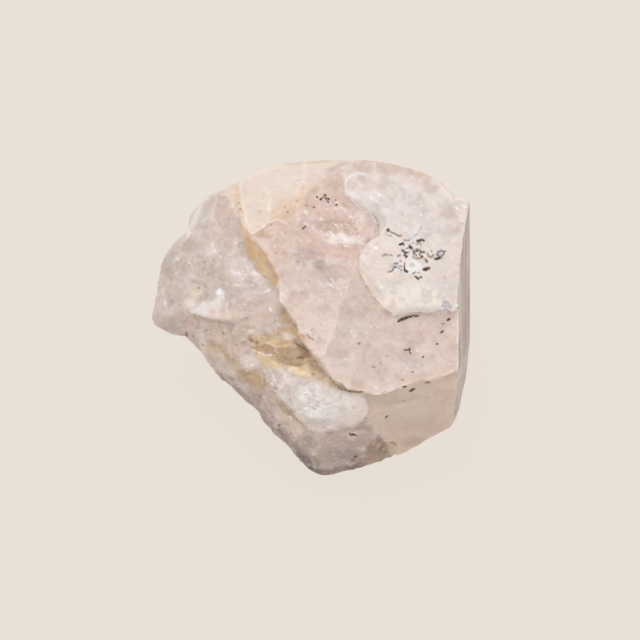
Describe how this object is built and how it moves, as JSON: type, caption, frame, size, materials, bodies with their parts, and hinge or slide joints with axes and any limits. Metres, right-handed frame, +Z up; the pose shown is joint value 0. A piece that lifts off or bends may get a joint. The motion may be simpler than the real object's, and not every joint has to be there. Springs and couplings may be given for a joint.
{
  "type": "rough morganite stone",
  "caption": "Rough, broken lump of pale pink beryl with stepped cleavage sheets, an iron-stained crevice and one flat growth face, lying on a level broken base.",
  "frame": {"origin": "middle of the stone's bounding box in plan, at the level of the face it rests on", "axes": "+Z up; the broad front face leans back by 30 degrees and faces up and towards -Y; the flat growth face is on the +X side"},
  "size_m": [0.032, 0.0304, 0.0205],
  "materials": {
    "morganite": "pale pink, cloudy, translucent beryl with glassy to waxy broken faces"
  },
  "bodies": {
    "root": {"morganite": "morganite"}
  },
  "joints": []
}
